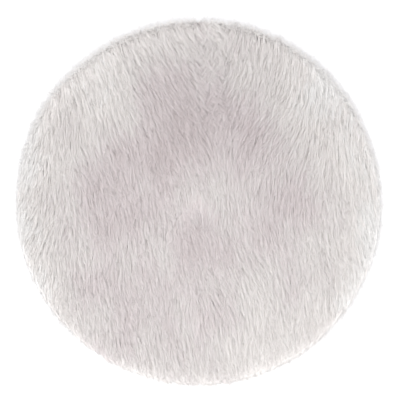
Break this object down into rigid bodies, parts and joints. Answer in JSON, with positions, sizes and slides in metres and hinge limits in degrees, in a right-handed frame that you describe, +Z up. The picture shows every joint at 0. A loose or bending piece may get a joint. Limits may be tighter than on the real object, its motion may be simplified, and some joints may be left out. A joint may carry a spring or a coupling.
{
  "type": "tree skirt",
  "caption": "Round long-pile faux fur tree skirt, lined, with a trunk hole and a slit that closes by hook-and-loop tape.",
  "frame": {"origin": "on the axis of the trunk hole, at the level of the floor that the hem rests on", "axes": "+Z up through the trunk; the slit runs from the trunk hole to the hem along +Y, the back; the pile is combed towards -Y, the front"},
  "size_m": [0.95, 0.9499, 0.036],
  "materials": {
    "pile": "long off-white pile, combed one way, matt",
    "knitted_ground": "fine knit",
    "lining": "fine twill, matt",
    "facing": "woven tape",
    "closure_tape": "hook and loop",
    "label": "satin ribbon, blank"
  },
  "bodies": {
    "skirt": {"pile_sector_1": "pile", "pile_sector_2": "pile", "pile_sector_3": "pile", "pile_sector_4": "pile", "pile_sector_5": "pile", "pile_sector_6": "pile", "pile_sector_7": "pile", "backing_main": "knitted_ground", "lining_main": "lining", "hem_main": "knitted_ground", "hole_facing_main": "facing", "slit_facing_main": "facing", "underlap": "lining", "hook_tape_1": "closure_tape", "hook_tape_2": "closure_tape", "hook_tape_3": "closure_tape"},
    "opening_flap": {"pile_flap": "pile", "backing_flap": "knitted_ground", "lining_flap": "lining", "hem_flap": "knitted_ground", "hole_facing_flap": "facing", "slit_facing_flap": "facing", "loop_tape_1": "closure_tape", "loop_tape_2": "closure_tape", "loop_tape_3": "closure_tape", "care_label": "label"}
  },
  "joints": [
    {"name": "flap_fold", "type": "hinge", "parent": "skirt", "child": "opening_flap", "pos_m": [0, 0, 0.022], "axis": [0.7071, -0.7071, 0], "range_deg": [0, 180], "deforming": ["pile_flap"]}
  ]
}
